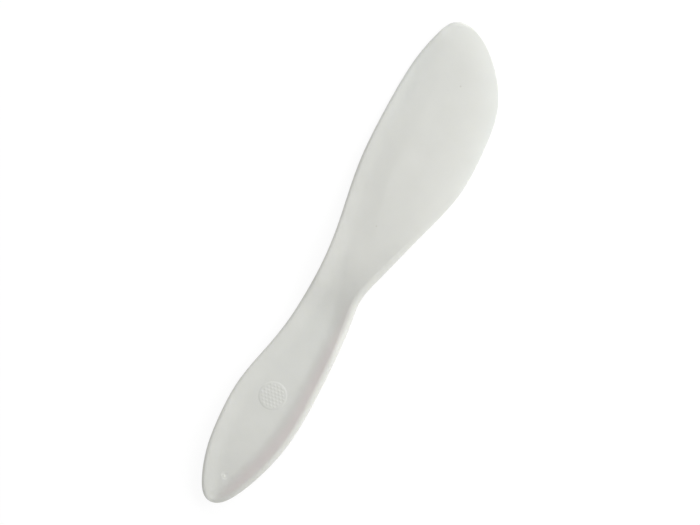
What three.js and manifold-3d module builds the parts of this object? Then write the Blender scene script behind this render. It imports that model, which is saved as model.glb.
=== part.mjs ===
// Bone folder: a one-piece moulded plastic tool for creasing, scoring and
// burnishing paper. The grip is dished: its face lies low, with a rounded rim
// standing up along its front edge. At the waist the rim spreads into the broad
// blade, whose face falls away in a long flat bevel to the thin working edge.
// Behind the blade the low face of the grip runs on as a shallow strip along
// the back edge. The underside is a flat burnishing face with rounded-over
// edges, and the tool lies on it.
//
// Units are millimetres. +Z is up, +Y runs from the butt to the blade's tip,
// +X runs from the back edge to the front (working) edge. The origin is the
// centre of the tool's footprint, on the plane it lies on.

import * as THREE from "three";
import { mergeVertices } from "three/addons/utils/BufferGeometryUtils.js";
import Module from "manifold-3d";

const wasm = await Module();
wasm.setup();

// ---------------------------------------------------------------------------
// Driving dimensions
// ---------------------------------------------------------------------------

// Overall footprint.
const LENGTH = 190;
const WIDTH = 38.3;

// Plan outline: control points of a closed uniform cubic B-spline, from the
// back corner of the tip, down the back edge, round the butt and up the front
// edge.
const OUTLINE = [
  [-13.98, 94.87], [-16.55, 88.11], [-18.98, 76.54], [-19.29, 64.43],
  [-18.87, 50.1], [-18.04, 37.03], [-15.64, 24.22], [-12.4, 10.69],
  [-10.6, -2.22], [-10.27, -15.06], [-10.67, -28.36], [-13.1, -40.77],
  [-15.56, -53.22], [-15.12, -64.64], [-13.66, -77.34], [-10.21, -87.31],
  [-5.63, -95.42], [0.49, -95.21], [4.97, -88.67], [9.03, -77.28],
  [11.57, -65.84], [12.08, -54.02], [11.51, -41.29], [10.67, -29.64],
  [9.1, -15.91], [6.91, -7.55], [9.9, 3.2], [13.04, 16.62],
  [16.63, 29.99], [19.26, 41.53], [19.2, 52.31], [17.78, 66.12],
  [15.64, 75.39], [9.88, 84.11], [2.05, 91.24], [-6.1, 95.48],
];

// The tables below give a value along the tool's length: [y, value].
// Height of the blade's face and of the rim along the front of the grip.
const LEVEL = [
  [-95, 3.62], [-89, 4.18], [-82, 4.69], [-75, 4.98], [-67, 5.05], [-59, 4.94],
  [-50, 4.8], [-42, 4.69], [-34, 4.59], [-27, 4.43], [-20, 4.21], [-14, 4.24],
  [-8, 4.38], [-3, 4.42], [2, 4.37], [8, 4.25], [15, 4.12], [22, 3.98],
  [30, 3.77], [38, 3.5], [46, 3.17], [54, 2.91], [62, 2.65], [70, 2.41],
  [78, 2.25], [86, 2.17], [95, 2.01],
];
// How far the grip's dished face, and the strip behind the blade, lie below it.
const HOLLOW = [
  [-95, 1.57], [-89, 1.57], [-82, 1.7], [-75, 1.86], [-67, 2.09], [-59, 2.31],
  [-50, 2.44], [-42, 2.54], [-34, 2.57], [-27, 2.42], [-20, 2.15], [-14, 1.72],
  [-8, 1.21], [-3, 0.84], [2, 0.55], [8, 0.42], [15, 0.47], [22, 0.54],
  [30, 0.65], [38, 0.7], [46, 0.69], [54, 0.75], [62, 0.8], [70, 0.78],
  [78, 0.53], [86, 0.27], [95, 0.02],
];
// X of the middle of the slope between the two, and half the slope's width.
const STEP_X = [
  [-95, -0.15], [-89, 1.4], [-82, 3.14], [-75, 5], [-67, 6.89], [-59, 8.26],
  [-50, 9.26], [-42, 9.52], [-34, 9.23], [-27, 8.65], [-20, 7.64], [-14, 6.24],
  [-8, 4.4], [-3, 2.67], [2, 0.88], [8, -1.27], [15, -3.68], [22, -5.8],
  [30, -7.71], [38, -9.1], [46, -10.06], [54, -10.68], [62, -11.13],
  [70, -11.53], [78, -11.99], [86, -12.47], [95, -13.02],
];
const STEP_HALF_WIDTH = [
  [-95, 2.21], [-89, 2.24], [-82, 2.3], [-75, 2.37], [-67, 2.58], [-59, 3.18],
  [-50, 3.96], [-42, 4.53], [-34, 4.86], [-27, 5.02], [-20, 5.08], [-14, 5.11],
  [-8, 5.09], [-3, 5.04], [2, 4.93], [8, 4.65], [15, 4.18], [22, 3.76],
  [30, 3.48], [38, 3.43], [46, 3.65], [54, 4.03], [62, 4.4], [70, 4.66],
  [78, 4.81], [86, 4.88], [95, 4.92],
];
const STEP_SOFT = 0.55; // rounding of the slope's two corners
// How far the face falls to the front edge (or rises, if negative), over what
// width. On the blade this is the bevel of the working edge.
const BEVEL_DROP = [
  [-95, -0.33], [-89, -0.33], [-82, -0.33], [-75, -0.31], [-67, -0.25],
  [-59, -0.16], [-50, -0.07], [-42, -0.05], [-34, -0.12], [-27, -0.21],
  [-20, -0.34], [-14, -0.53], [-8, -0.75], [-3, -0.91], [2, -0.99], [8, -0.93],
  [15, -0.61], [22, -0.07], [30, 0.66], [38, 1.32], [46, 1.69], [54, 1.73],
  [62, 1.61], [70, 1.41], [78, 1.17], [86, 0.88], [95, 0.5],
];
const BEVEL_WIDTH = [
  [-95, 4.56], [-89, 4.82], [-82, 5.17], [-75, 5.47], [-67, 5.8], [-59, 6],
  [-50, 6.16], [-42, 6.33], [-34, 6.54], [-27, 6.72], [-20, 7.04], [-14, 7.52],
  [-8, 8.05], [-3, 8.37], [2, 8.63], [8, 9.38], [15, 10.5], [22, 11.6],
  [30, 12.88], [38, 14.17], [46, 15.02], [54, 14.77], [62, 14.11], [70, 13.01],
  [78, 11.37], [86, 9.04], [95, 6.38],
];
// How far the face rises to the back edge (or falls, if negative).
const BACK_RISE = [
  [-95, 0.79], [-89, 0.87], [-82, 0.94], [-75, 0.92], [-67, 0.86], [-59, 0.82],
  [-50, 0.81], [-42, 0.83], [-34, 0.89], [-27, 0.97], [-20, 1.07], [-14, 1.1],
  [-8, 1.07], [-3, 0.96], [2, 0.77], [8, 0.52], [15, 0.26], [22, 0.08],
  [30, -0.03], [38, -0.08], [46, -0.15], [54, -0.3], [62, -0.48], [70, -0.48],
  [78, -0.42], [86, -0.25], [95, 0.04],
];
const BACK_RISE_WIDTH = 5.6;
// X of the line between the back half and the front half.
const MIDDLE_X = [
  [-95, -2.6], [-86, -2.2], [-70, -1.9], [-50, -1.6], [-30, -0.1], [-15, -0.7],
  [0, -0.9], [20, 0], [40, 0.4], [60, -0.6], [80, -3], [88, -5.5], [95, -8.5],
];
const MIDDLE_BLEND = 7; // width over which one half passes into the other

// The upper edge: the face falls by EDGE_FALL over EDGE_WIDTH, then a tight
// corner turns into the side wall. Back edge and front edge have their own.
const EDGE_WIDTH_BACK = [
  [-95, 1.0], [-86, 1.1], [-60, 1.25], [-15, 1.2], [15, 1.05], [45, 1.05], [95, 1.15],
];
const EDGE_FALL_BACK = [
  [-95, 0.3], [-86, 0.4], [-60, 0.48], [-28, 0.48], [-15, 0.37], [-3, 0.37],
  [30, 0.42], [60, 0.4], [95, 0.34],
];
const EDGE_WIDTH_FRONT = [
  [-95, 1.3], [-88, 1.7], [-77, 1.7], [-66, 2.0], [-54, 2.2], [-41, 2.35], [-29, 2.4],
  [-17, 2.65], [-7, 2.6], [4, 2.45], [16, 2.0], [30, 1.4], [42, 1.1], [95, 1.0],
];
const EDGE_FALL_FRONT = [
  [-95, 0.25], [-88, 0.9], [-77, 0.9], [-66, 1.12], [-54, 1.3], [-41, 1.45], [-29, 1.55],
  [-17, 1.7], [-7, 1.6], [4, 1.35], [16, 0.75], [30, 0.28], [42, 0.08], [95, 0.04],
];
const EDGE_POWER = 1.75; // 1 would be a chamfer, 2 a parabola
const CORNER_WIDTH = 0.16;
const CORNER_FALL = 0.2;
const WALL_TOP = 0.56; // the corner stays above this share of the thickness
const UNDER_RADIUS_GRIP = 2.8; // rounding of the underside's edge, in plan
const UNDER_RADIUS_BLADE = 1.3;

// Round thumb pad: a low plateau standing on the grip's face.
const PAD_CENTRE = [-2.02, -51.88];
const PAD_RADIUS = 5;
const PAD_HEIGHT = 0.09;

// Gate mark near the butt: a small round recess with the cut-off stub in it.
const GATE_CENTRE = [-2.34, -84.42];
const GATE_RADIUS = 1.3;
const GATE_DEPTH = 0.14;
const STUB_CENTRE = [-2.45, -84.57];
const STUB_RADIUS = 0.45;
const STUB_HEIGHT = 0.09; // above the recess's floor

// Mesh density
const STATION_STEP = 3.2;
const BUTT_STATION = -86; // the side stations run between these two, and
const TIP_STATION = 72; // fans close the butt and the tip
const BUTT_POINTS = 11;
const TIP_POINTS = 21;
const CORNER_STEPS = [0.25, 1]; // shares of the corner's width
const TOP_STEPS = [0.32, 0.64, 1.04]; // shares of the edge's width
const TOP_INNER_RINGS = 10;
const UNDER_STEPS = [0.04, 0.16, 0.38, 0.7, 1]; // shares of the under radius

// ---------------------------------------------------------------------------
// Curves
// ---------------------------------------------------------------------------

// Point on the outline at parameter t, one unit per control point.
function outlineAt(t) {
  const n = OUTLINE.length;
  const i = Math.floor(t);
  const f = t - i;
  const w = [
    (1 - f) ** 3 / 6,
    (3 * f ** 3 - 6 * f ** 2 + 4) / 6,
    (-3 * f ** 3 + 3 * f ** 2 + 3 * f + 1) / 6,
    f ** 3 / 6,
  ];
  let x = 0;
  let y = 0;
  for (let k = 0; k < 4; k++) {
    const p = OUTLINE[(((i + k - 1) % n) + n) % n];
    x += w[k] * p[0];
    y += w[k] * p[1];
  }
  return [x, y];
}

// Smooth value of a [y, value] table: cubic Hermite with central tangents.
function along(table, y) {
  const n = table.length;
  if (y <= table[0][0]) return table[0][1];
  if (y >= table[n - 1][0]) return table[n - 1][1];
  let i = 0;
  while (table[i + 1][0] < y) i++;
  const tangent = (k) => {
    const a = table[Math.max(0, k - 1)];
    const b = table[Math.min(n - 1, k + 1)];
    return (b[1] - a[1]) / (b[0] - a[0]);
  };
  const [y0, v0] = table[i];
  const [y1, v1] = table[i + 1];
  const h = y1 - y0;
  const s = (y - y0) / h;
  return (
    v0 * (1 + 2 * s) * (1 - s) ** 2 +
    tangent(i) * h * s * (1 - s) ** 2 +
    v1 * s * s * (3 - 2 * s) +
    tangent(i + 1) * h * s * s * (s - 1)
  );
}

const clamp01 = (v) => Math.min(1, Math.max(0, v));
const smooth = (v) => {
  const t = clamp01(v);
  return t * t * t * (t * (6 * t - 15) + 10);
};
// Quarter-ellipse rise: 0 with a vertical tangent at 0, level from 1 on.
const roundOver = (v) => {
  const t = 1 - clamp01(v);
  return Math.sqrt(Math.max(0, 1 - t * t));
};

// ---------------------------------------------------------------------------
// The outline as a fine polyline, for distances in from the edge
// ---------------------------------------------------------------------------

const FINE = 40;
const rim = [];
for (let k = 0; k < OUTLINE.length * FINE; k++) rim.push(outlineAt(k / FINE));

function edgeDistance(x, y) {
  let best = Infinity;
  for (let k = 0; k < rim.length; k++) {
    const [ax, ay] = rim[k];
    const [bx, by] = rim[(k + 1) % rim.length];
    const ux = bx - ax;
    const uy = by - ay;
    const s = clamp01(((x - ax) * ux + (y - ay) * uy) / (ux * ux + uy * uy));
    const dx = x - ax - s * ux;
    const dy = y - ay - s * uy;
    best = Math.min(best, dx * dx + dy * dy);
  }
  return Math.sqrt(best);
}

// How much of the outline is front (working) edge, by outline parameter: 1 from
// the butt round the blade to the tip, fading to 0 on the back edge.
const working = rim.map((_, k) => {
  const t = k / FINE < 2 ? k / FINE + OUTLINE.length : k / FINE;
  return smooth((t - 16.2) / 1.4) * (1 - smooth((t - 35) / 1.6));
});

// Distance in from the edge with its ridges smoothed away: a mean over the
// outline, or over its weighted stretches, in which the nearest one dominates.
const SOFTENING = 0.5;
function softDistance(x, y, weights) {
  let sum = 0;
  for (let k = 0; k < rim.length; k++) {
    const [ax, ay] = rim[k];
    const [bx, by] = rim[(k + 1) % rim.length];
    const mx = (ax + bx) / 2 - x;
    const my = (ay + by) / 2 - y;
    const r2 = mx * mx + my * my + SOFTENING ** 2;
    sum += ((weights ? weights[k] : 1) * Math.hypot(bx - ax, by - ay)) / r2 ** 4;
  }
  return ((5 * Math.PI) / 16 / sum) ** (1 / 7);
}

// ---------------------------------------------------------------------------
// Heights
// ---------------------------------------------------------------------------

const softPlus = (u, b) =>
  b * (Math.max(0, u / b) + Math.log1p(Math.exp(-Math.abs(u / b))));

// 0 below -half, 1 above half, straight between, with rounded corners.
const ramp = (u, half, soft) =>
  (softPlus(u + half, soft) - softPlus(u - half, soft)) / (2 * half);

// 0 on the back half, 1 on the front half.
const front = (x, y) => smooth((x - along(MIDDLE_X, y)) / MIDDLE_BLEND + 0.5);

const sideValue = (back, forward, x, y) =>
  along(back, y) + (along(forward, y) - along(back, y)) * front(x, y);

const edgeWidth = (x, y) => sideValue(EDGE_WIDTH_BACK, EDGE_WIDTH_FRONT, x, y);

// How far the rounded edge lies below the face, at distance d in from the edge.
function edgeFall(x, y, d) {
  const fall = sideValue(EDGE_FALL_BACK, EDGE_FALL_FRONT, x, y);
  const corner = CORNER_FALL * (1 - roundOver(d / CORNER_WIDTH));
  return fall * clamp01(1 - d / edgeWidth(x, y)) ** EDGE_POWER + corner;
}

// The upper face before its edge is rounded.
function face(x, y) {
  const sunk = ramp(along(STEP_X, y) - x, along(STEP_HALF_WIDTH, y), STEP_SOFT);
  const back =
    (1 - front(x, y)) * softPlus(1 - softDistance(x, y) / BACK_RISE_WIDTH, 0.12);
  const bevel =
    clamp01(1 - softDistance(x, y, working) / along(BEVEL_WIDTH, y)) ** 2;
  return (
    along(LEVEL, y) -
    along(HOLLOW, y) * sunk +
    along(BACK_RISE, y) * back -
    along(BEVEL_DROP, y) * bevel
  );
}

// Height of the widest line of the edge, half the local edge thickness.
const edgeHeight = (x, y) => 0.5 * face(x, y);

function topHeight(x, y, d) {
  const full = face(x, y);
  return Math.max(full - edgeFall(x, y, d), WALL_TOP * full);
}

const underRadius = (y) =>
  UNDER_RADIUS_GRIP +
  (UNDER_RADIUS_BLADE - UNDER_RADIUS_GRIP) * smooth((y + 30) / 50);

function underHeight(x, y, d) {
  return edgeHeight(x, y) * (1 - roundOver(d / underRadius(y)));
}

// ---------------------------------------------------------------------------
// Stations: outline points paired with points on the middle line
// ---------------------------------------------------------------------------

// Outline parameter where the outline reaches y, between two parameters.
function outlineParameter(y, lo, hi) {
  const rising = outlineAt(hi)[1] > outlineAt(lo)[1];
  for (let k = 0; k < 60; k++) {
    const mid = (lo + hi) / 2;
    if (outlineAt(mid)[1] < y === rising) lo = mid;
    else hi = mid;
  }
  return (lo + hi) / 2;
}

const stations = [];
const stationCount = Math.round((TIP_STATION - BUTT_STATION) / STATION_STEP);
for (let k = 0; k <= stationCount; k++) {
  const y = BUTT_STATION + ((TIP_STATION - BUTT_STATION) * k) / stationCount;
  const left = outlineAt(outlineParameter(y, 0.6, 16));
  const right = outlineAt(outlineParameter(y, 17.5, 35));
  stations.push({ y, left, right, middle: [(left[0] + right[0]) / 2, y] });
}

// Evenly spaced outline points strictly between two parameters.
function between(t0, t1, count) {
  const pts = [];
  const lengths = [0];
  const steps = 400;
  for (let k = 0; k <= steps; k++) {
    pts.push(outlineAt(t0 + ((t1 - t0) * k) / steps));
    if (k)
      lengths.push(
        lengths[k - 1] +
          Math.hypot(pts[k][0] - pts[k - 1][0], pts[k][1] - pts[k - 1][1]),
      );
  }
  const out = [];
  for (let j = 1; j <= count; j++) {
    const want = (lengths[steps] * j) / (count + 1);
    let k = 1;
    while (lengths[k] < want) k++;
    const f = (want - lengths[k - 1]) / (lengths[k] - lengths[k - 1]);
    out.push([
      pts[k - 1][0] + f * (pts[k][0] - pts[k - 1][0]),
      pts[k - 1][1] + f * (pts[k][1] - pts[k - 1][1]),
    ]);
  }
  return out;
}

// Anticlockwise seen from above: down the back edge, round the butt, up the
// front edge, round the tip. Each entry is an edge point and its middle point.
const n = OUTLINE.length;
const [first, last] = [stations[0], stations[stationCount]];
const spokes = [];
for (let k = stationCount; k >= 0; k--)
  spokes.push({ edge: stations[k].left, middle: stations[k].middle });
for (const p of between(
  outlineParameter(BUTT_STATION, 0.6, 16),
  outlineParameter(BUTT_STATION, 17.5, 35),
  BUTT_POINTS,
))
  spokes.push({ edge: p, middle: first.middle });
for (let k = 0; k <= stationCount; k++)
  spokes.push({ edge: stations[k].right, middle: stations[k].middle });
for (const p of between(
  outlineParameter(TIP_STATION, 17.5, 35),
  outlineParameter(TIP_STATION, 0.6, 16) + n,
  TIP_POINTS,
))
  spokes.push({ edge: p, middle: last.middle });

// ---------------------------------------------------------------------------
// The solid's surface: rings parallel to the edge that close on the middle line
// ---------------------------------------------------------------------------

function folderGeometry() {
  const triangles = [];
  const add = (a, b, c) => triangles.push(...a, ...b, ...c);
  const quad = (a, b, c, d) => {
    add(a, b, c);
    add(a, c, d);
  };

  const ringPoint = (spoke, inset, share) => {
    const dx = spoke.middle[0] - spoke.edge[0];
    const dy = spoke.middle[1] - spoke.edge[1];
    const length = Math.hypot(dx, dy);
    const r = Math.min(1, inset / length) * (1 - share) + share;
    return [spoke.edge[0] + dx * r, spoke.edge[1] + dy * r];
  };

  const onEdge = (spoke) => {
    const [x, y] = spoke.edge;
    return [x, y, edgeHeight(x, y)];
  };

  // Upper rings, from the edge to the middle line.
  const topInsets = (spoke) => [
    ...CORNER_STEPS.map((share) => share * CORNER_WIDTH),
    ...TOP_STEPS.map((share) => share * edgeWidth(...spoke.edge)),
  ];
  const steps = CORNER_STEPS.length + TOP_STEPS.length;
  const upper = [spokes.map(onEdge)];
  for (let k = 0; k < steps; k++)
    upper.push(
      spokes.map((spoke) => {
        const [x, y] = ringPoint(spoke, topInsets(spoke)[k], 0);
        return [x, y, topHeight(x, y, edgeDistance(x, y))];
      }),
    );
  for (let k = 1; k <= TOP_INNER_RINGS; k++)
    upper.push(
      spokes.map((spoke) => {
        const inset = topInsets(spoke)[steps - 1];
        const [x, y] = ringPoint(spoke, inset, k / TOP_INNER_RINGS);
        return [x, y, topHeight(x, y, edgeDistance(x, y))];
      }),
    );

  // Lower rings: the rounded edge, then one flat step to the middle line.
  const lower = [upper[0]];
  for (const share of UNDER_STEPS)
    lower.push(
      spokes.map((spoke) => {
        const inset = share * underRadius(spoke.edge[1]) * 1.02;
        const [x, y] = ringPoint(spoke, inset, 0);
        const z = share === 1 ? 0 : underHeight(x, y, edgeDistance(x, y));
        return [x, y, z];
      }),
    );
  lower.push(spokes.map((spoke) => [spoke.middle[0], spoke.middle[1], 0]));

  const same = (a, b) => a[0] === b[0] && a[1] === b[1];
  for (let k = 0; k + 1 < upper.length; k++)
    for (let i = 0; i < spokes.length; i++) {
      const j = (i + 1) % spokes.length;
      const [a, b, c, d] = [upper[k][i], upper[k][j], upper[k + 1][j], upper[k + 1][i]];
      if (same(c, d)) add(a, b, d);
      else quad(a, b, c, d);
    }
  for (let k = 0; k + 1 < lower.length; k++)
    for (let i = 0; i < spokes.length; i++) {
      const j = (i + 1) % spokes.length;
      const [a, b, c, d] = [lower[k][i], lower[k][j], lower[k + 1][j], lower[k + 1][i]];
      if (same(c, d)) add(a, d, b);
      else quad(a, d, c, b);
    }

  const geometry = new THREE.BufferGeometry();
  geometry.setAttribute(
    "position",
    new THREE.BufferAttribute(new Float32Array(triangles), 3),
  );

  // Centre the footprint and bring it to its exact length and width.
  geometry.computeBoundingBox();
  const { min, max } = geometry.boundingBox;
  geometry.translate(-(min.x + max.x) / 2, -(min.y + max.y) / 2, 0);
  geometry.scale(WIDTH / (max.x - min.x), LENGTH / (max.y - min.y), 1);
  return geometry;
}

// ---------------------------------------------------------------------------
// Small features, cut into and added to the solid
// ---------------------------------------------------------------------------

function toSolid(geometry) {
  const bare = geometry.clone();
  bare.deleteAttribute("normal");
  bare.deleteAttribute("uv");
  const merged = mergeVertices(bare, 1e-4);
  return new wasm.Manifold(
    new wasm.Mesh({
      numProp: 3,
      vertProperties: Float32Array.from(merged.attributes.position.array),
      triVerts: Uint32Array.from(merged.index.array),
    }),
  );
}

function toGeometry(solid) {
  const mesh = solid.getMesh();
  const geometry = new THREE.BufferGeometry();
  geometry.setAttribute(
    "position",
    new THREE.BufferAttribute(Float32Array.from(mesh.vertProperties), 3),
  );
  geometry.setIndex(new THREE.BufferAttribute(Uint32Array.from(mesh.triVerts), 1));
  geometry.computeVertexNormals();
  return geometry;
}

// A solid of revolution about +Z, from a profile of [radius, height] points
// that starts and ends on the axis, standing at a centre in plan.
function turned(profile, sides, [x, y], z) {
  const geometry = new THREE.LatheGeometry(
    profile.map(([r, h]) => new THREE.Vector2(r, h)),
    sides,
  );
  geometry.rotateX(Math.PI / 2);
  geometry.translate(x, y, z);
  return toSolid(geometry);
}

// The thumb pad: the body's own face under a round disc, raised.
function thumbPad(body) {
  const disc = turned([[0, 1], [PAD_RADIUS, 1], [PAD_RADIUS, 8], [0, 8]], 48, PAD_CENTRE, 0);
  return body.translate([0, 0, PAD_HEIGHT]).intersect(disc);
}

function gateCutter() {
  const z = face(...GATE_CENTRE);
  return turned(
    [[0, -GATE_DEPTH], [GATE_RADIUS * 0.55, -GATE_DEPTH], [GATE_RADIUS * 0.82, -GATE_DEPTH * 0.65],
      [GATE_RADIUS * 1.1, 0.04], [GATE_RADIUS * 1.2, 0.8], [0, 0.8]],
    24, GATE_CENTRE, z,
  );
}

function gateStub() {
  const z = face(...GATE_CENTRE) - GATE_DEPTH;
  return turned(
    [[0, -0.5], [STUB_RADIUS, -0.5], [STUB_RADIUS, STUB_HEIGHT * 0.7],
      [STUB_RADIUS * 0.7, STUB_HEIGHT], [0, STUB_HEIGHT]],
    12, STUB_CENTRE, z,
  );
}

// ---------------------------------------------------------------------------
// Assembly
// ---------------------------------------------------------------------------

const whitePlastic = new THREE.MeshStandardMaterial({
  name: "white_plastic",
  color: new THREE.Color(0.7, 0.706, 0.672),
  roughness: 0.48,
  metalness: 0,
});

const boneFolder = new THREE.Group();
boneFolder.name = "bone_folder";

const plainBody = toSolid(folderGeometry());
const bodySolid = plainBody
  .add(thumbPad(plainBody))
  .subtract(gateCutter())
  .add(gateStub());

const folderBody = new THREE.Mesh(toGeometry(bodySolid), whitePlastic);
folderBody.name = "folder_body";
boneFolder.add(folderBody);

export default boneFolder;
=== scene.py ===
import math

import bpy
import numpy as np
from mathutils import Matrix, Vector
from mathutils.geometry import delaunay_2d_cdt


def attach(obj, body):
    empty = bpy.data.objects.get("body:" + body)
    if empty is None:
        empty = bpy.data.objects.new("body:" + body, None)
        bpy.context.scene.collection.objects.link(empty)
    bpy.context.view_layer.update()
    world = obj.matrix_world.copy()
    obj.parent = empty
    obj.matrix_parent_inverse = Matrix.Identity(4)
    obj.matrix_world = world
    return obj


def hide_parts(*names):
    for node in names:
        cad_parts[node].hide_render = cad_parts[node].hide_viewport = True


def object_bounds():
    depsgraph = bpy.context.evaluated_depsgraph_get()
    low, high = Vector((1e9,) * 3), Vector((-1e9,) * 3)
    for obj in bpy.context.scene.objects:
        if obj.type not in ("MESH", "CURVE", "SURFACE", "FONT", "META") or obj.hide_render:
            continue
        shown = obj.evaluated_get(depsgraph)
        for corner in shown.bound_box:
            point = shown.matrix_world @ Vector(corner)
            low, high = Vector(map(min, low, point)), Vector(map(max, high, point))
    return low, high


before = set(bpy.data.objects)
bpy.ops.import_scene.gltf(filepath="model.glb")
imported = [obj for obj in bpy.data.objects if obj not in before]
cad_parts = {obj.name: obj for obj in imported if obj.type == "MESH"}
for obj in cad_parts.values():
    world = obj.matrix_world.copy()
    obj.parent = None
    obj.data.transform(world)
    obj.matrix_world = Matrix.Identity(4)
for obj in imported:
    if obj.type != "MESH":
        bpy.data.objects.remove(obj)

CAD_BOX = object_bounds()
MM = 0.001

# ---------------------------------------------------------------------------
# Camera: straight down on the dished face, with the tool lying diagonally
# ---------------------------------------------------------------------------

ROLL = math.radians(30.406)
AIM = Vector((-2.30, 2.12, 0.0)) * MM
VIEW_WIDTH = 245.8 * MM  # what the picture's width spans at the tool
LENS = 120.0

cam_data = bpy.data.cameras.new("camera")
cam_data.lens = LENS
cam_data.sensor_width = 36.0
camera = bpy.data.objects.new("camera", cam_data)
bpy.context.scene.collection.objects.link(camera)
distance = VIEW_WIDTH / 36.0 * LENS
camera.matrix_world = Matrix.Translation(AIM + Vector((0, 0, distance + 0.0015))) @ Matrix.Rotation(ROLL, 4, "Z")
cam_data.clip_start = 0.05
cam_data.clip_end = 20.0
bpy.context.scene.camera = camera

# ---------------------------------------------------------------------------
# The tool's form, in millimetres
# ---------------------------------------------------------------------------

OUTLINE = np.array([
    [-13.98, 94.87], [-16.55, 88.11], [-18.98, 76.54], [-19.29, 64.43],
    [-18.87, 50.1], [-18.04, 37.03], [-15.64, 24.22], [-12.4, 10.69],
    [-10.6, -2.22], [-10.27, -15.06], [-10.67, -28.36], [-13.1, -40.77],
    [-15.56, -53.22], [-15.12, -64.64], [-13.66, -77.34], [-10.21, -87.31],
    [-5.63, -95.42], [0.49, -95.21], [4.97, -88.67], [9.03, -77.28],
    [11.57, -65.84], [12.08, -54.02], [11.51, -41.29], [10.67, -29.64],
    [9.1, -15.91], [6.91, -7.55], [9.9, 3.2], [13.04, 16.62],
    [16.63, 29.99], [19.26, 41.53], [19.2, 52.31], [17.78, 66.12],
    [15.64, 75.39], [9.88, 84.11], [2.05, 91.24], [-6.1, 95.48],
])
# Tables along the tool's length: [y, value].
# LEVEL is the height of the face on the blade and along the grip's front rim.
# HOLLOW is how far the dished grip, and the strip behind the blade, lie below it.
# STEP_X is the middle of the slope between the two.
LEVEL = [
    [-95, 3.62], [-89, 4.18], [-82, 4.69], [-75, 4.98], [-67, 5.05], [-59, 4.94], [-50, 4.8],
    [-42, 4.69], [-34, 4.59], [-27, 4.43], [-20, 4.21], [-14, 4.24], [-8, 4.38], [-3, 4.42],
    [2, 4.37], [8, 4.25], [15, 4.12], [22, 3.98], [30, 3.77], [38, 3.5], [46, 3.17], [54, 2.91],
    [62, 2.65], [70, 2.41], [78, 2.25], [86, 2.17], [95, 2.01],
]
HOLLOW = [
    [-95, 1.57], [-89, 1.57], [-82, 1.7], [-75, 1.86], [-67, 2.09], [-59, 2.31], [-50, 2.44],
    [-42, 2.54], [-34, 2.57], [-27, 2.42], [-20, 2.15], [-14, 1.72], [-8, 1.21], [-3, 0.84],
    [2, 0.55], [8, 0.42], [15, 0.47], [22, 0.54], [30, 0.65], [38, 0.7], [46, 0.69], [54, 0.75],
    [62, 0.8], [70, 0.78], [78, 0.53], [86, 0.27], [95, 0.02],
]
STEP_X = [
    [-95, -0.15], [-89, 1.4], [-82, 3.14], [-75, 5], [-67, 6.89], [-59, 8.26], [-50, 9.26],
    [-42, 9.52], [-34, 9.23], [-27, 8.65], [-20, 7.64], [-14, 6.24], [-8, 4.4], [-3, 2.67],
    [2, 0.88], [8, -1.27], [15, -3.68], [22, -5.8], [30, -7.71], [38, -9.1], [46, -10.06],
    [54, -10.68], [62, -11.13], [70, -11.53], [78, -11.99], [86, -12.47], [95, -13.02],
]
STEP_HALF_WIDTH = [
    [-95, 2.21], [-89, 2.24], [-82, 2.3], [-75, 2.37], [-67, 2.58], [-59, 3.18], [-50, 3.96],
    [-42, 4.53], [-34, 4.86], [-27, 5.02], [-20, 5.08], [-14, 5.11], [-8, 5.09], [-3, 5.04],
    [2, 4.93], [8, 4.65], [15, 4.18], [22, 3.76], [30, 3.48], [38, 3.43], [46, 3.65],
    [54, 4.03], [62, 4.4], [70, 4.66], [78, 4.81], [86, 4.88], [95, 4.92],
]
STEP_SOFT = 0.55  # rounding of the step's two corners
# BEVEL_DROP is how far the face falls towards the working edge, or rises if
# negative, over BEVEL_WIDTH. BACK_RISE is its rise towards the back edge.
BEVEL_DROP = [
    [-95, -0.33], [-89, -0.33], [-82, -0.33], [-75, -0.31], [-67, -0.25], [-59, -0.16],
    [-50, -0.07], [-42, -0.05], [-34, -0.12], [-27, -0.21], [-20, -0.34], [-14, -0.53],
    [-8, -0.75], [-3, -0.91], [2, -0.99], [8, -0.93], [15, -0.61], [22, -0.07], [30, 0.66],
    [38, 1.32], [46, 1.69], [54, 1.73], [62, 1.61], [70, 1.41], [78, 1.17], [86, 0.88],
    [95, 0.5],
]
BEVEL_WIDTH = [
    [-95, 4.56], [-89, 4.82], [-82, 5.17], [-75, 5.47], [-67, 5.8], [-59, 6], [-50, 6.16],
    [-42, 6.33], [-34, 6.54], [-27, 6.72], [-20, 7.04], [-14, 7.52], [-8, 8.05], [-3, 8.37],
    [2, 8.63], [8, 9.38], [15, 10.5], [22, 11.6], [30, 12.88], [38, 14.17], [46, 15.02],
    [54, 14.77], [62, 14.11], [70, 13.01], [78, 11.37], [86, 9.04], [95, 6.38],
]
BACK_RISE = [
    [-95, 0.79], [-89, 0.87], [-82, 0.94], [-75, 0.92], [-67, 0.86], [-59, 0.82], [-50, 0.81],
    [-42, 0.83], [-34, 0.89], [-27, 0.97], [-20, 1.07], [-14, 1.1], [-8, 1.07], [-3, 0.96],
    [2, 0.77], [8, 0.52], [15, 0.26], [22, 0.08], [30, -0.03], [38, -0.08], [46, -0.15],
    [54, -0.3], [62, -0.48], [70, -0.48], [78, -0.42], [86, -0.25], [95, 0.04],
]
BACK_RISE_WIDTH = 5.6
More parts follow.
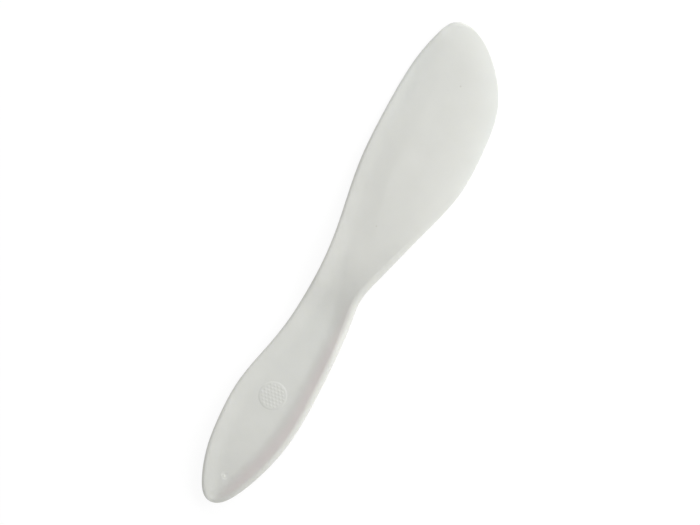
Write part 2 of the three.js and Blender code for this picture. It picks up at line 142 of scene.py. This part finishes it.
# The upper edge: a rounded fall of EDGE_FALL over EDGE_WIDTH, then a tighter
# corner, then the side wall down to the parting line.
EDGE_WIDTH_BACK = [[-95, 1.0], [-86, 1.1], [-60, 1.25], [-15, 1.2], [15, 1.05], [45, 1.05], [95, 1.15]]
EDGE_FALL_BACK = [
    [-95, 0.3], [-86, 0.4], [-60, 0.48], [-28, 0.48], [-15, 0.37], [-3, 0.37], [30, 0.42], [60, 0.4], [95, 0.34],
]
EDGE_WIDTH_FRONT = [
    [-95, 1.3], [-88, 1.7], [-77, 1.7], [-66, 2.0], [-54, 2.2], [-41, 2.35], [-29, 2.4], [-17, 2.65],
    [-7, 2.6], [4, 2.45], [16, 2.0], [30, 1.4], [42, 1.1], [95, 1.0],
]
EDGE_FALL_FRONT = [
    [-95, 0.25], [-88, 0.9], [-77, 0.9], [-66, 1.12], [-54, 1.3], [-41, 1.45], [-29, 1.55], [-17, 1.7],
    [-7, 1.6], [4, 1.35], [16, 0.75], [30, 0.28], [42, 0.08], [95, 0.04],
]
EDGE_POWER = 1.75
CORNER_WIDTH = 0.16
CORNER_FALL = 0.2
UNDER_RADIUS_GRIP = 2.8
UNDER_RADIUS_BLADE = 1.3
PARTING_LINE = 0.02  # how far the mould's parting line stands out
BAND = 3.2  # width of the mesh's ordered band along the edge

PAD_CENTRE = np.array([-2.02, -51.88])
PAD_RADIUS = 5.1
PAD_HEIGHT = 0.09
PIP_PITCH = 1.36
PIP_RADIUS = 0.4
PIP_HEIGHT = 0.06
GATE_CENTRE = np.array([-2.34, -84.42])
GATE_RADIUS = 1.35
GATE_DEPTH = 0.1
# Ejector-pin marks on the underside: centre and radius.
EJECTOR_MARKS = [(-2.0, -70.0, 2.0), (-0.8, -22.0, 2.0), (-1.0, 28.0, 2.0), (0.0, 68.0, 2.0)]
# Specks in the surface: centre, radius, depth.
PITS = [(-0.12, 75.0, 0.3, 0.05), (-0.79, 17.7, 0.28, 0.05)]


def spline(t):
    """Points on the closed outline at parameters t, one unit per control point."""
    n = len(OUTLINE)
    i = np.floor(t).astype(int)
    f = (t - i)[:, None]
    p = [OUTLINE[(i + k - 1) % n] for k in range(4)]
    return (
        (1 - f) ** 3 / 6 * p[0]
        + (3 * f**3 - 6 * f**2 + 4) / 6 * p[1]
        + (-3 * f**3 + 3 * f**2 + 3 * f + 1) / 6 * p[2]
        + f**3 / 6 * p[3]
    )


# The outline fills the CAD box exactly.
_dense = spline(np.linspace(0, len(OUTLINE), 14400, endpoint=False))
_lo, _hi = _dense.min(0), _dense.max(0)
_box_lo = np.array(CAD_BOX[0][:2]) / MM
_box_hi = np.array(CAD_BOX[1][:2]) / MM
_scale = (_box_hi - _box_lo - 0.01) / (_hi - _lo)
_shift = (_box_hi + _box_lo) / 2 - (_hi + _lo) / 2 * _scale


def outline(t):
    return spline(np.asarray(t, float)) * _scale + _shift


RIM_AT = np.linspace(0, len(OUTLINE), 1440, endpoint=False)
RIM = outline(RIM_AT)
RIM_NEXT = np.roll(RIM, -1, axis=0)
RIM_MID = (RIM + RIM_NEXT) / 2
RIM_LEN = np.hypot(*(RIM_NEXT - RIM).T)


def along(table, y):
    """Smooth value of a [y, value] table: cubic Hermite with central tangents."""
    table = np.array(table, float)
    ys, vs = table.T
    n = len(ys)
    a = np.maximum(np.arange(n) - 1, 0)
    b = np.minimum(np.arange(n) + 1, n - 1)
    tangents = (vs[b] - vs[a]) / (ys[b] - ys[a])
    y = np.clip(y, ys[0], ys[-1])
    i = np.clip(np.searchsorted(ys, y, side="right") - 1, 0, n - 2)
    h = ys[i + 1] - ys[i]
    s = (y - ys[i]) / h
    return (
        vs[i] * (1 + 2 * s) * (1 - s) ** 2
        + tangents[i] * h * s * (1 - s) ** 2
        + vs[i + 1] * s * s * (3 - 2 * s)
        + tangents[i + 1] * h * s * s * (s - 1)
    )


def smooth(v):
    t = np.clip(v, 0, 1)
    return t * t * t * (t * (6 * t - 15) + 10)


def round_over(v):
    t = 1 - np.clip(v, 0, 1)
    return np.sqrt(np.maximum(0, 1 - t * t))


# 1 along the working edge, which runs from the butt round the blade to the
# tip, fading to 0 on the back edge.
_at = np.where(RIM_AT < 2, RIM_AT + len(OUTLINE), RIM_AT)
WORKING = smooth((_at - 16.2) / 1.4) * (1 - smooth((_at - 35.0) / 1.6))


def soft_distance(x, y, share=1.0):
    """Distance in from the edge, or a share of it, with its ridges smoothed away."""
    out = np.empty(len(x))
    for k in range(0, len(x), 4000):
        dx = x[k : k + 4000, None] - RIM_MID[None, :, 0]
        dy = y[k : k + 4000, None] - RIM_MID[None, :, 1]
        r2 = dx * dx + dy * dy + 0.25
        r2 *= r2
        r2 *= r2
        out[k : k + 4000] = (5 * math.pi / 16 / (share * RIM_LEN[None, :] / r2).sum(1)) ** (1 / 7)
    return out


# Broad low swells and sinks in the face: centre, radius, height.
SWELLS = [
    (4, -28, 5.5, 0.215), (4, -16, 5.5, 0.185), (-12, -46, 5.5, -0.159),
    (-6, 52, 5.5, -0.084), (4, 6, 3.5, -0.091), (-4, 18, 3.5, 0.084),
    (-10, -60, 5.5, -0.110), (-10, -10, 3.5, 0.124), (-4, -16, 3.5, -0.086),
    (-10, -34, 5.5, -0.109), (-12, 78, 3.5, 0.079), (-10, 34, 5.5, 0.086),
]


def waviness(x, y):
    """The faint unevenness of a moulded face that shrank as it cooled."""
    z = 0.012 * (
        np.sin(x * 0.41 + y * 0.13 + 0.7) * np.sin(y * 0.19 - x * 0.11 + 1.9)
        + 0.6 * np.sin(x * 0.83 - y * 0.37 + 2.6) * np.sin(y * 0.47 + 0.4)
    )
    for sx, sy, radius, height in SWELLS:
        z = z + height * np.exp(-((x - sx) ** 2 + (y - sy) ** 2) / (2 * radius**2))
    return z


def soft_plus(u, b):
    return b * np.logaddexp(0, u / b)


def ramp(u, half, soft):
    """0 below -half, 1 above half, straight between, with rounded corners."""
    return (soft_plus(u + half, soft) - soft_plus(u - half, soft)) / (2 * half)


MIDDLE_X = [
    [-95, -2.6], [-86, -2.2], [-70, -1.9], [-50, -1.6], [-30, -0.1], [-15, -0.7],
    [0, -0.9], [20, 0.0], [40, 0.4], [60, -0.6], [80, -3.0], [88, -5.5], [95, -8.5],
]


def front(x, y):
    """0 on the back (spine) side, 1 on the front (working) side."""
    return smooth((x - along(MIDDLE_X, y)) / 7.0 + 0.5)


def edge_width(x, y):
    back = along(EDGE_WIDTH_BACK, y)
    return back + (along(EDGE_WIDTH_FRONT, y) - back) * front(x, y)


def corner_share(x, y):
    """The corner is full on the back edge, and crisper on the front, most of all on the blade."""
    return 1 - front(x, y) * (0.25 + 0.45 * smooth((y - 20) / 25))


def edge_fall(x, y, inset):
    """How far the edge's rounding takes the face down, this far in from the outline."""
    back = along(EDGE_FALL_BACK, y)
    fall = back + (along(EDGE_FALL_FRONT, y) - back) * front(x, y)
    crisp = corner_share(x, y)
    corner = CORNER_FALL * crisp * (1 - round_over(inset / (CORNER_WIDTH * crisp)))
    return fall * np.clip(1 - inset / edge_width(x, y), 0, 1) ** EDGE_POWER + corner


def face(x, y):
    """The upper face before its edge is rounded."""
    sunk = ramp(along(STEP_X, y) - x, along(STEP_HALF_WIDTH, y), STEP_SOFT)
    back = (1 - front(x, y)) * soft_plus(1 - soft_distance(x, y) / BACK_RISE_WIDTH, 0.12)
    bevel = np.clip(1 - soft_distance(x, y, WORKING) / along(BEVEL_WIDTH, y), 0, 1) ** 2
    return (
        along(LEVEL, y)
        - along(HOLLOW, y) * sunk
        + along(BACK_RISE, y) * back
        - along(BEVEL_DROP, y) * bevel
    )


def pip_centres():
    """A hexagonal field of 37 pips."""
    pts = []
    for i in range(-3, 4):
        for j in range(-3, 4):
            if abs(i + j) <= 3:
                pts.append((PIP_PITCH * (i + j / 2), PIP_PITCH * j * math.sqrt(3) / 2))
    a = math.radians(8)
    rot = np.array([[math.cos(a), -math.sin(a)], [math.sin(a), math.cos(a)]])
    return np.array(pts) @ rot.T + PAD_CENTRE


PIPS = pip_centres()


def relief(x, y):
    """Small raised and sunk details of the upper face."""
    z = waviness(x, y)
    # Thumb pad: a low round plateau with a field of pips on it.
    r = np.hypot(x - PAD_CENTRE[0], y - PAD_CENTRE[1])
    z = z + PAD_HEIGHT * smooth((PAD_RADIUS + 0.1 - r) / 0.65)
    near = r < PAD_RADIUS
    if near.any():
        d = np.min(np.hypot(x[near, None] - PIPS[None, :, 0], y[near, None] - PIPS[None, :, 1]), axis=1)
        z[near] += PIP_HEIGHT * smooth((PIP_RADIUS * 1.25 - d) / PIP_RADIUS)
    # Gate mark: a small recess with the cut-off stub standing in it.
    gx, gy = x - GATE_CENTRE[0], y - GATE_CENTRE[1]
    r = np.hypot(gx, gy)
    u, v = 0.56 * gx + 0.83 * gy, 0.83 * gx - 0.56 * gy
    z = z - GATE_DEPTH * smooth((GATE_RADIUS + 0.4 - r) / 1.45)
    stub = np.clip((u + 1.6) / 1.4, 0, 1) * smooth(0.5 - (u + 0.2) / 0.4) * smooth((0.75 - np.abs(v)) / 0.45)
    z = z + 0.12 * stub
    for px, py, pr, depth in PITS:
        z = z - depth * np.exp(-(((x - px) ** 2 + (y - py) ** 2) / (pr * 0.7) ** 2))
    return z


def under_relief(x, y):
    """Ejector-pin marks: shallow round steps."""
    z = np.zeros(len(x))
    for cx, cy, cr in EJECTOR_MARKS:
        r = np.hypot(x - cx, y - cy)
        z = z + 0.07 * smooth((cr - r) / 0.12 + 0.5)
    return z


# ---------------------------------------------------------------------------
# Points and faces
# ---------------------------------------------------------------------------


def edge_stations(count):
    """Outline points evenly spaced along the edge, and their inward normals."""
    t = np.linspace(0, len(OUTLINE), 28801)
    p = outline(t)
    s = np.concatenate([[0], np.cumsum(np.hypot(*np.diff(p, axis=0).T))])
    want = np.linspace(0, s[-1], count, endpoint=False)
    ts = np.interp(want, s, t)
    p = outline(ts)
    tangent = outline(ts + 1e-3) - outline(ts - 1e-3)
    tangent /= np.hypot(*tangent.T)[:, None]
    return p, np.stack([-tangent[:, 1], tangent[:, 0]], axis=1)


def ring(centre, radius, count, turn=0.0):
    a = np.arange(count) * 2 * math.pi / count + turn
    return np.stack([centre[0] + radius * np.cos(a), centre[1] + radius * np.sin(a)], axis=1)


def lattice(lo, hi, pitch):
    rows = int((hi[1] - lo[1]) / (pitch * math.sqrt(3) / 2)) + 2
    cols = int((hi[0] - lo[0]) / pitch) + 2
    j, i = np.mgrid[0:rows, 0:cols]
    x = lo[0] + (i + 0.5 * (j % 2)) * pitch
    y = lo[1] + j * pitch * math.sqrt(3) / 2
    return np.stack([x.ravel(), y.ravel()], axis=1)


def inside(points, loop):
    """Which points lie inside a closed loop."""
    x, y = points.T
    res = np.zeros(len(points), bool)
    a, b = loop, np.roll(loop, -1, axis=0)
    for (ax, ay), (bx, by) in zip(a, b):
        if ay == by:
            continue
        cross = (ay > y) != (by > y)
        res ^= cross & (x < (bx - ax) * (y - ay) / (by - ay) + ax)
    return res


def nearest(points, others):
    out = np.empty(len(points))
    for k in range(0, len(points), 2000):
        d = np.hypot(
            points[k : k + 2000, None, 0] - others[None, :, 0],
            points[k : k + 2000, None, 1] - others[None, :, 1],
        )
        out[k : k + 2000] = d.min(1)
    return out


def fill(loop, groups, pitch):
    """Triangles that fill a loop, through detail points and a lattice."""
    detail = np.concatenate([g[0] for g in groups]) if groups else np.zeros((0, 2))
    base = lattice(loop.min(0), loop.max(0), pitch)
    keep = inside(base, loop)
    base = base[keep]
    base = base[nearest(base, loop) > pitch * 0.55]
    for pts, centre, clear in groups:
        base = base[np.hypot(*(base - centre).T) > clear]
    pts = np.concatenate([loop, detail, base])
    verts, _, faces, origin, _, _ = delaunay_2d_cdt(
        [Vector((float(a), float(b))) for a, b in pts], [], [list(range(len(loop)))], 1, 1e-7
    )
    assert len(verts) == len(pts)
    index = np.array([o[0] for o in origin])
    return pts, [tuple(int(index[v]) for v in f) for f in faces]


def pad_points():
    groups = []
    pts = []
    for r, n in ((3.9, 0), (4.25, 90), (4.5, 96), (4.72, 104), (4.9, 110), (5.05, 116), (5.18, 120), (5.32, 120), (5.48, 120), (5.68, 116), (5.95, 104), (6.3, 88), (6.75, 72)):
        if n:
            pts.append(ring(PAD_CENTRE, r, n, 0.01 * n))
    inner = lattice(PAD_CENTRE - 4.2, PAD_CENTRE + 4.2, 0.26)
    inner = inner[np.hypot(*(inner - PAD_CENTRE).T) < 4.12]
    inner = inner[nearest(inner, PIPS) > PIP_RADIUS * 1.25 + 0.1]
    pts.append(inner)
    keep = []
    for c in PIPS:
        for r, n in ((0.0, 1), (0.1, 6), (0.19, 10), (0.27, 12), (0.35, 14), (0.43, 14), (0.5, 14)):
            q = ring(c, r, n, r * 3)
            keep.append(q)
    keep = np.concatenate(keep)
    pts.append(keep[np.hypot(*(keep - PAD_CENTRE).T) < 4.22])
    groups.append((np.concatenate(pts), PAD_CENTRE, 7.05))
    pts = [ring(GATE_CENTRE, r, n, r) for r, n in (
        (0.0, 1), (0.14, 6), (0.26, 12), (0.37, 16), (0.47, 20), (0.57, 22), (0.68, 24), (0.8, 26), (0.92, 28),
        (1.03, 32), (1.13, 34), (1.23, 36), (1.33, 38), (1.43, 38), (1.53, 38), (1.65, 34), (1.85, 28), (2.15, 24))]
    groups.append((np.concatenate(pts), GATE_CENTRE, 2.5))
    for px, py, pr, _ in PITS:
        pts = [ring((px, py), r * pr, n, r) for r, n in ((0, 1), (0.25, 6), (0.5, 8), (0.75, 10), (1.0, 12), (1.4, 12), (2.0, 12))]
        groups.append((np.concatenate(pts), np.array((px, py)), 2.4 * pr))
    return groups


def ejector_points():
    groups = []
    for cx, cy, cr in EJECTOR_MARKS:
        pts = [ring((cx, cy), r, n, r) for r, n in (
            (0.0, 1), (0.5, 8), (1.0, 16), (cr - 0.45, 28), (cr - 0.16, 44), (cr - 0.07, 48), (cr - 0.03, 48), (cr, 48), (cr + 0.03, 48),
            (cr + 0.07, 48), (cr + 0.16, 44), (cr + 0.45, 32), (cr + 0.95, 24))]
        groups.append((np.concatenate(pts), np.array((cx, cy)), cr + 1.3))
    return groups


STATIONS = 960
edge, inward = edge_stations(STATIONS)


def build_body():
    n = STATIONS
    rings, heights = [], []  # upper band, from the parting line in

    edge_face = face(*edge.T)

    # Parting line.
    rings.append(edge)
    heights.append(0.5 * edge_face)

    # Side wall, corner, rounding and the band's last rings.
    wide = edge_width(*edge.T)
    corner = CORNER_WIDTH * corner_share(*edge.T)
    insets = [0.0 * wide] + [corner * (1 - math.cos(a)) for a in np.radians(np.linspace(0, 80, 7))]
    insets += [corner + (wide - corner) * share for share in (0.04, 0.12, 0.22, 0.34, 0.48, 0.64, 0.82, 1.0)]
    insets += [wide + (BAND - wide) * share for share in (0.33, 0.66, 1.0)]
    for k, inset in enumerate(insets):
        p = edge + inward * (inset + PARTING_LINE * (1 - inset / BAND))[:, None]
        top = face(*p.T)
        z = np.maximum(top - edge_fall(*p.T, inset), 0.56 * top)
        if k == 0:
            z = 0.5 * top + 0.05
        z = z + relief(*p.T) * smooth(inset / 1.5)
        rings.append(p)
        heights.append(z)
    upper_count = len(rings)

    under = UNDER_RADIUS_GRIP + (UNDER_RADIUS_BLADE - UNDER_RADIUS_GRIP) * smooth((edge[:, 1] + 30) / 50)
    lower, lower_heights = [], []
    for k, turn in enumerate(np.radians([0, 9, 18, 27, 36, 45, 54, 63, 72, 81, 90])):
        inset = under * (1 - math.cos(turn))
        p = edge + inward * (inset * (1 - PARTING_LINE / under) + PARTING_LINE)[:, None]
        z = 0.5 * face(*p.T) * (1 - math.sin(turn))
        if k == 0:
            z = z - 0.07
        lower.append(p)
        lower_heights.append(z)
    lower.append(edge + inward * (under * 1.12 + 0.1)[:, None])
    lower_heights.append(np.zeros(n))

    verts = np.concatenate([np.column_stack([p, z]) for p, z in zip(rings, heights)])
    faces = []

    def strip(a, b, flip):
        for i in range(n):
            j = (i + 1) % n
            q = (a + i, a + j, b + j, b + i)
            faces.append(q[::-1] if flip else q)

    for k in range(upper_count - 1):
        strip(k * n, (k + 1) * n, False)
    low_start = len(verts)
    verts = np.concatenate([verts] + [np.column_stack([p, z]) for p, z in zip(lower, lower_heights)])
    strip(0, low_start, True)
    for k in range(len(lower) - 1):
        strip(low_start + k * n, low_start + (k + 1) * n, True)

    # Upper face.
    loop_start = (upper_count - 1) * n
    pts, tris = fill(rings[-1], pad_points(), 0.72)
    new = pts[n:]
    z = face(*new.T) + relief(*new.T)
    base = len(verts)
    verts = np.concatenate([verts, np.column_stack([new, z])])
    at = lambda v: loop_start + v if v < n else base + v - n
    for t in tris:
        faces.append(tuple(at(v) for v in t))

    # Underside.
    loop_start = low_start + (len(lower) - 1) * n
    pts, tris = fill(lower[-1][::4], ejector_points(), 2.4)
    m = len(lower[-1][::4])
    new = pts[m:]
    z = under_relief(*new.T)
    base2 = len(verts)
    verts = np.concatenate([verts, np.column_stack([new, z])])
    at2 = lambda v: loop_start + 4 * v if v < m else base2 + v - m
    out = []
    for t in tris:
        ids = [at2(v) for v in t]
        # Edges on the coarse loop take in the band's points between them.
        poly = []
        for a, b, va, vb in zip(ids, ids[1:] + ids[:1], t, t[1:] + t[:1]):
            poly.append(a)
            if va < m and vb < m and (vb - va) % m == 1:
                poly += [loop_start + (4 * va + q) % n for q in (1, 2, 3)]
            elif va < m and vb < m and (va - vb) % m == 1:
                poly += [loop_start + (4 * vb + q) % n for q in (3, 2, 1)]
        out.append(tuple(poly[::-1]))
    faces += out
    return verts, faces


verts, faces = build_body()
# The finely modelled face stays under the faceted solid's highest point.
verts[:, 2] *= min(1.0, (CAD_BOX[1][2] / MM - 0.004) / verts[:, 2].max())

mesh = bpy.data.meshes.new("folder_body_fine")
mesh.from_pydata((verts * MM).tolist(), [], faces)
mesh.validate()
mesh.shade_smooth()

# Where the plastic is thin (painted lighter, standing in for light shining through it), worn at its edges, or on
# the underside; also a painted highlight at the gate and painted warm shade on the grip's slope.
# Strength and shift of the painted warm shade along the grip's slope.
SHADE_TINT = [[-95, 0.3], [-87, 1], [-45, 1], [-28, 0.9], [-19, 0.65], [-13, 0.4], [-7, 0], [95, 0]]
SHADE_TINT_SHIFT = [[-95, 0.9], [-60, 0.7], [-47, -0.6], [-30, -1.1], [-15, 0.2], [95, 0.2]]
soft = soft_distance(verts[:, 0], verts[:, 1])
thick = face(verts[:, 0], verts[:, 1])
# Painted glow: thin plastic gets a lighter colour, standing in for light shining through it.
thin_glow = np.exp(-np.maximum(thick - 0.9, 0) / 0.8)
edge_wear = np.exp(-((soft / 1.1) ** 2))
speck = np.zeros(len(verts))
for px, py, pr, _ in PITS:
    near = np.hypot(verts[:, 0] - px, verts[:, 1] - py)
    speck = np.maximum(speck, np.where(verts[:, 2] > 1, smooth((pr * 1.5 - near) / pr), 0))
# Lighter where the gate was broken off: partly whitened plastic, partly a painted highlight on the stub and its
# recess.
gate_x, gate_y = verts[:, 0] - GATE_CENTRE[0], verts[:, 1] - GATE_CENTRE[1]
whitened_and_highlight = 0.25 * smooth((GATE_RADIUS + 0.4 - np.hypot(gate_x, gate_y)) / 0.5)
whitened_and_highlight += 0.26 * smooth((0.58 - np.hypot(gate_x, gate_y)) / 0.45)
whitened_and_highlight[verts[:, 2] < 1] = 0
# Painted shade: a faint warm, slightly darker cast along the inner slope of the grip's rim, where it faces away
# from the key light.
shade_tint = along(SHADE_TINT, verts[:, 1]) * np.exp(
    -(((verts[:, 0] - along(STEP_X, verts[:, 1]) - along(SHADE_TINT_SHIFT, verts[:, 1])) / 2.4) ** 2)
)
shade_tint *= smooth((soft - 0.6) / 2.4)
shade_tint[verts[:, 2] < 1] = 0
for name, values in (
    ("thin_glow", thin_glow), ("edge", edge_wear), ("speck", speck), ("whitened_and_highlight", whitened_and_highlight), ("shade_tint", shade_tint),
):
    attribute = mesh.attributes.new(name, "FLOAT", "POINT")
    attribute.data.foreach_set("value", values.astype(np.float32))

body = bpy.data.objects.new("folder_body_fine", mesh)
bpy.context.scene.collection.objects.link(body)

# ---------------------------------------------------------------------------
# Material: white, slightly translucent moulded plastic
# ---------------------------------------------------------------------------


def new_material(name):
    mat = bpy.data.materials.new(name)
    mat.use_nodes = True
    mat.node_tree.nodes.clear()
    return mat, mat.node_tree


def node(tree, kind, **settings):
    made = tree.nodes.new(kind)
    for key, value in settings.items():
        setattr(made, key, value)
    return made


mat, tree = new_material("white_moulded_plastic")
link = tree.links.new
out = node(tree, "ShaderNodeOutputMaterial")
bsdf = node(tree, "ShaderNodeBsdfPrincipled")
link(bsdf.outputs["BSDF"], out.inputs["Surface"])

coords = node(tree, "ShaderNodeTexCoord")
mm = node(tree, "ShaderNodeMapping")
mm.inputs["Scale"].default_value = (1000.0, 1000.0, 1000.0)
link(coords.outputs["Object"], mm.inputs["Vector"])

# Cloudy variation of the plastic's white.
cloud = node(tree, "ShaderNodeTexNoise")
cloud.inputs["Scale"].default_value = 0.11
cloud.inputs["Detail"].default_value = 4.0
cloud.inputs["Roughness"].default_value = 0.55
link(mm.outputs["Vector"], cloud.inputs["Vector"])

# Painted glow: the colour lightens from thick to thin plastic, for light shining through the thin parts.
thick_colour = (0.6595, 0.663, 0.6335, 1.0)
thin_glow_colour = (0.7335, 0.7515, 0.73, 1.0)
thin_glow_attr = node(tree, "ShaderNodeAttribute", attribute_name="thin_glow")
glow_by_thickness = node(tree, "ShaderNodeMix", data_type="RGBA")
glow_by_thickness.inputs["A"].default_value = thick_colour
glow_by_thickness.inputs["B"].default_value = thin_glow_colour
link(thin_glow_attr.outputs["Fac"], glow_by_thickness.inputs["Factor"])

cloud_range = node(tree, "ShaderNodeMapRange")
cloud_range.inputs["From Min"].default_value = 0.3
cloud_range.inputs["From Max"].default_value = 0.7
cloud_range.inputs["To Min"].default_value = 0.985
cloud_range.inputs["To Max"].default_value = 1.015
link(cloud.outputs["Fac"], cloud_range.inputs["Value"])
# Dark specks caught in the plastic.
speck_attr = node(tree, "ShaderNodeAttribute", attribute_name="speck")
specked = node(tree, "ShaderNodeMix", data_type="RGBA")
specked.inputs["B"].default_value = (0.58, 0.575, 0.54, 1.0)
link(speck_attr.outputs["Fac"], specked.inputs["Factor"])
link(glow_by_thickness.outputs["Result"], specked.inputs["A"])
# Partly whitened plastic, partly a painted highlight on the gate stub.
whitened_highlight_attr = node(tree, "ShaderNodeAttribute", attribute_name="whitened_and_highlight")
gate_white_and_highlight = node(tree, "ShaderNodeMix", data_type="RGBA")
gate_white_and_highlight.inputs["B"].default_value = (0.82, 0.82, 0.795, 1.0)
link(whitened_highlight_attr.outputs["Fac"], gate_white_and_highlight.inputs["Factor"])
link(specked.outputs["Result"], gate_white_and_highlight.inputs["A"])
# Painted shade: a warm, slightly darker tint on the grip's inner slope that faces away from the key light.
shade_tint_attr = node(tree, "ShaderNodeAttribute", attribute_name="shade_tint")
warm_shade = node(tree, "ShaderNodeMix", data_type="RGBA")
warm_shade.inputs["B"].default_value = (0.68, 0.6463, 0.6297, 1.0)
link(shade_tint_attr.outputs["Fac"], warm_shade.inputs["Factor"])
link(gate_white_and_highlight.outputs["Result"], warm_shade.inputs["A"])
tinted = node(tree, "ShaderNodeVectorMath", operation="SCALE")
link(warm_shade.outputs["Result"], tinted.inputs["Vector"])
link(cloud_range.outputs["Result"], tinted.inputs["Scale"])
link(tinted.outputs["Vector"], bsdf.inputs["Base Color"])

# Satin finish, a little smoother where handling has polished the edges.
satin = node(tree, "ShaderNodeTexNoise")
satin.inputs["Scale"].default_value = 0.7
satin.inputs["Detail"].default_value = 5.0
link(mm.outputs["Vector"], satin.inputs["Vector"])
satin_range = node(tree, "ShaderNodeMapRange")
satin_range.inputs["From Min"].default_value = 0.3
satin_range.inputs["From Max"].default_value = 0.7
satin_range.inputs["To Min"].default_value = 0.5
satin_range.inputs["To Max"].default_value = 0.62
link(satin.outputs["Fac"], satin_range.inputs["Value"])
edge_attr = node(tree, "ShaderNodeAttribute", attribute_name="edge")
polish = node(tree, "ShaderNodeMath", operation="MULTIPLY_ADD")
polish.inputs[1].default_value = -0.1
link(edge_attr.outputs["Fac"], polish.inputs[0])
link(satin_range.outputs["Result"], polish.inputs[2])
link(polish.outputs["Value"], bsdf.inputs["Roughness"])

# Fine moulded texture.
grain = node(tree, "ShaderNodeTexNoise")
grain.inputs["Scale"].default_value = 3.2
grain.inputs["Detail"].default_value = 6.0
grain.inputs["Roughness"].default_value = 0.6
link(mm.outputs["Vector"], grain.inputs["Vector"])
bump = node(tree, "ShaderNodeBump")
bump.inputs["Strength"].default_value = 0.25
bump.inputs["Distance"].default_value = 0.00006
link(grain.outputs["Fac"], bump.inputs["Height"])
link(bump.outputs["Normal"], bsdf.inputs["Normal"])

bsdf.inputs["IOR"].default_value = 1.5
bsdf.inputs["Specular IOR Level"].default_value = 0.4
bsdf.inputs["Subsurface Weight"].default_value = 1.0
bsdf.inputs["Subsurface Radius"].default_value = (1.0, 1.0, 0.92)
bsdf.inputs["Subsurface Scale"].default_value = 0.0004
mesh.materials.append(mat)

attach(body, "root")
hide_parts("folder_body")

# ---------------------------------------------------------------------------
# Studio: a plain pale floor and soft light
# ---------------------------------------------------------------------------

floor_mesh = bpy.data.meshes.new("floor")
floor_mesh.from_pydata([(-3, -3, 0), (3, -3, 0), (3, 3, 0), (-3, 3, 0)], [], [(0, 1, 2, 3)])
floor = bpy.data.objects.new("floor", floor_mesh)
floor.location.z = -0.0001
bpy.context.scene.collection.objects.link(floor)
floor_mat, floor_tree = new_material("pale_floor")
f_out = node(floor_tree, "ShaderNodeOutputMaterial")
f_bsdf = node(floor_tree, "ShaderNodeBsdfPrincipled")
f_bsdf.inputs["Base Color"].default_value = (0.85, 0.85, 0.85, 1)
f_bsdf.inputs["Roughness"].default_value = 0.8
f_bsdf.inputs["Specular IOR Level"].default_value = 0.1
# The camera sees the floor as an even white with only a faint contact shadow.
f_white = node(floor_tree, "ShaderNodeEmission")
f_white.inputs["Strength"].default_value = 1.04
f_mix = node(floor_tree, "ShaderNodeMixShader")
seen = node(floor_tree, "ShaderNodeLightPath")
share = node(floor_tree, "ShaderNodeMath", operation="MULTIPLY")
share.inputs[1].default_value = 0.86
floor_tree.links.new(seen.outputs["Is Camera Ray"], share.inputs[0])
floor_tree.links.new(share.outputs["Value"], f_mix.inputs["Fac"])
floor_tree.links.new(f_bsdf.outputs["BSDF"], f_mix.inputs[1])
floor_tree.links.new(f_white.outputs["Emission"], f_mix.inputs[2])
floor_tree.links.new(f_mix.outputs["Shader"], f_out.inputs["Surface"])
floor_mesh.materials.append(floor_mat)

CAMERA_RIGHT = Vector((math.cos(ROLL), math.sin(ROLL), 0))
CAMERA_UP = Vector((-math.sin(ROLL), math.cos(ROLL), 0))


def area_light(name, azimuth, elevation, dist, width, height, watts, colour=(1, 1, 1)):
    """A soft panel that faces the tool; azimuth turns from the picture's right to its top."""
    data = bpy.data.lights.new(name, "AREA")
    data.shape = "RECTANGLE"
    data.size = width
    data.size_y = height
    data.energy = watts
    data.color = colour
    lamp = bpy.data.objects.new(name, data)
    az, el = math.radians(azimuth), math.radians(elevation)
    d = (CAMERA_RIGHT * math.cos(az) + CAMERA_UP * math.sin(az)) * math.cos(el) + Vector((0, 0, math.sin(el)))
    lamp.location = d * dist
    lamp.rotation_mode = "QUATERNION"
    lamp.rotation_quaternion = d.to_track_quat("Z", "Y")
    bpy.context.scene.collection.objects.link(lamp)
    return lamp


area_light("key_light", 25.0, 29.0, 1.0, 1.65, 0.46, 13.2, (1.0, 1.0, 0.99))

world = bpy.data.worlds.new("studio")
bpy.context.scene.world = world
world.use_nodes = True
background = world.node_tree.nodes["Background"]
background.inputs["Color"].default_value = (1.0, 1.0, 1.0, 1)
# Lights at this strength; looks plain white beyond the floor.
world_seen = node(world.node_tree, "ShaderNodeLightPath")
world_glow = node(world.node_tree, "ShaderNodeMath", operation="MULTIPLY_ADD")
world_glow.inputs[1].default_value = 0.41
world_glow.inputs[2].default_value = 0.59
world.node_tree.links.new(world_seen.outputs["Is Camera Ray"], world_glow.inputs[0])
world.node_tree.links.new(world_glow.outputs["Value"], background.inputs["Strength"])

bpy.context.scene.view_settings.view_transform = "Standard"
bpy.context.scene.cycles.use_denoising = True
